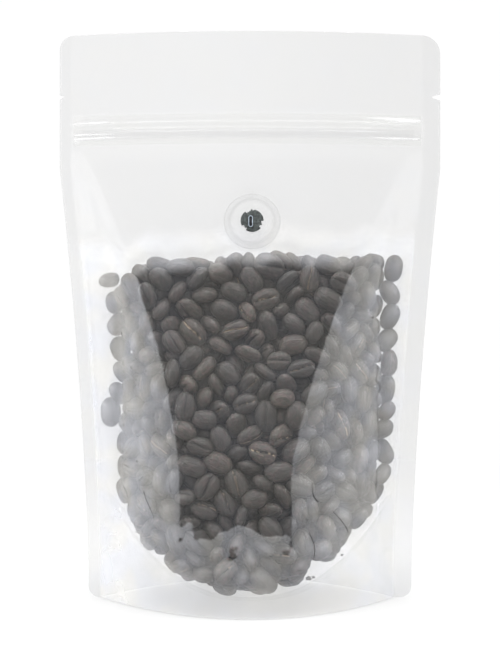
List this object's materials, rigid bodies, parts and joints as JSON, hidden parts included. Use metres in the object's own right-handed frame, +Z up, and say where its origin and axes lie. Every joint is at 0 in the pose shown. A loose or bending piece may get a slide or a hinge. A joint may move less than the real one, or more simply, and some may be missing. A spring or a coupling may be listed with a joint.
{
  "type": "stand-up pouch",
  "caption": "Clear stand-up pouch of roasted coffee beans, with a press-to-close zip, a round degassing valve, tear notches and an opened bottom gusset.",
  "frame": {"origin": "on the floor under the middle of the pouch, where the loaded base film rests", "axes": "+Z up, -Y out of the front panel that carries the valve, +X to the right seen from the front"},
  "size_m": [0.151, 0.0712, 0.2225],
  "materials": {
    "clear_film": "clear glossy laminated film",
    "zip": "satin translucent",
    "valve": "satin translucent white",
    "membrane": "smooth dark",
    "slot_bead": "satin blue-grey"
  },
  "bodies": {
    "root": {"pouch": "clear_film", "zip_front": "zip", "zip_back": "zip", "valve_body": "valve", "valve_membrane": "membrane", "valve_slot": "slot_bead"}
  },
  "joints": []
}
